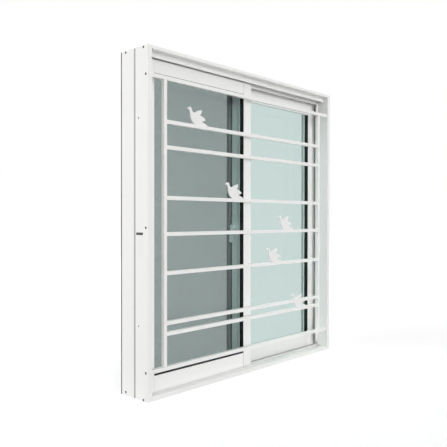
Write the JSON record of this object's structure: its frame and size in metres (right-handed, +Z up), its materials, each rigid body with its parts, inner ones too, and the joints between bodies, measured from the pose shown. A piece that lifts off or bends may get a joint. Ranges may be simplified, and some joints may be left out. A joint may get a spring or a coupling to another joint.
{
  "type": "horizontal sliding window",
  "caption": "Ready-made horizontal sliding window: white aluminium frame, front and rear glazed sashes, insect screen and a fixed outdoor security grille with bird silhouettes.",
  "frame": {"origin": "centre of the footprint, on the underside of the sill", "axes": "+X along the width to the right as seen from outdoors, +Y from the outdoor face to the room, +Z up"},
  "size_m": [1.01, 0.137, 1.1],
  "materials": {
    "white_frame": "white powder-coated aluminium extrusion, satin",
    "white_sash": "white powder-coated aluminium extrusion, satin",
    "white_grille": "white powder-coated welded aluminium tube, satin",
    "white_birds": "white powder-coated aluminium plate, satin",
    "tinted_glass": "clear float glass with a pale green tint",
    "black_rubber": "matt black glazing rubber",
    "black_pile": "black brush pile",
    "screen_cloth": "dark woven insect mesh",
    "grey_screen": "grey powder-coated aluminium tube, satin",
    "roller_body": "moulded white plastic carrier and wheel",
    "lock_metal": "white enamelled die-cast lock"
  },
  "bodies": {
    "root": {"brush_jamb_left": "black_pile", "brush_jamb_right": "black_pile", "channel_cover": "white_frame", "frame_head": "white_frame", "frame_jamb_left": "white_frame", "frame_jamb_right": "white_frame", "frame_sill": "white_frame", "front_sash_bottom_rail": "white_sash", "front_sash_gasket": "black_rubber", "front_sash_glass": "tinted_glass", "front_sash_meeting_stile": "white_sash", "front_sash_outer_stile": "white_sash", "front_sash_rollers": "roller_body", "front_sash_top_rail": "white_sash", "grille_bar_1": "white_grille", "grille_bar_2": "white_grille", "grille_bar_3": "white_grille", "grille_bar_4": "white_grille", "grille_bar_5": "white_grille", "grille_bar_6": "white_grille", "grille_bar_7": "white_grille", "grille_birds": "white_birds", "grille_bottom_bar": "white_grille", "grille_left_bar": "white_grille", "grille_right_bar": "white_grille", "grille_top_bar": "white_grille", "lock_keeper": "lock_metal", "lock_lever": "lock_metal", "lock_plate": "lock_metal", "rear_sash_bottom_rail": "white_sash", "rear_sash_gasket": "black_rubber", "rear_sash_glass": "tinted_glass", "rear_sash_meeting_stile": "white_sash", "rear_sash_outer_stile": "white_sash", "rear_sash_rollers": "roller_body", "rear_sash_top_rail": "white_sash", "screen_bottom_rail": "grey_screen", "screen_brush": "black_pile", "screen_left_stile": "grey_screen", "screen_mesh": "screen_cloth", "screen_right_stile": "grey_screen", "screen_spline": "black_rubber", "screen_top_rail": "grey_screen"}
  },
  "joints": []
}
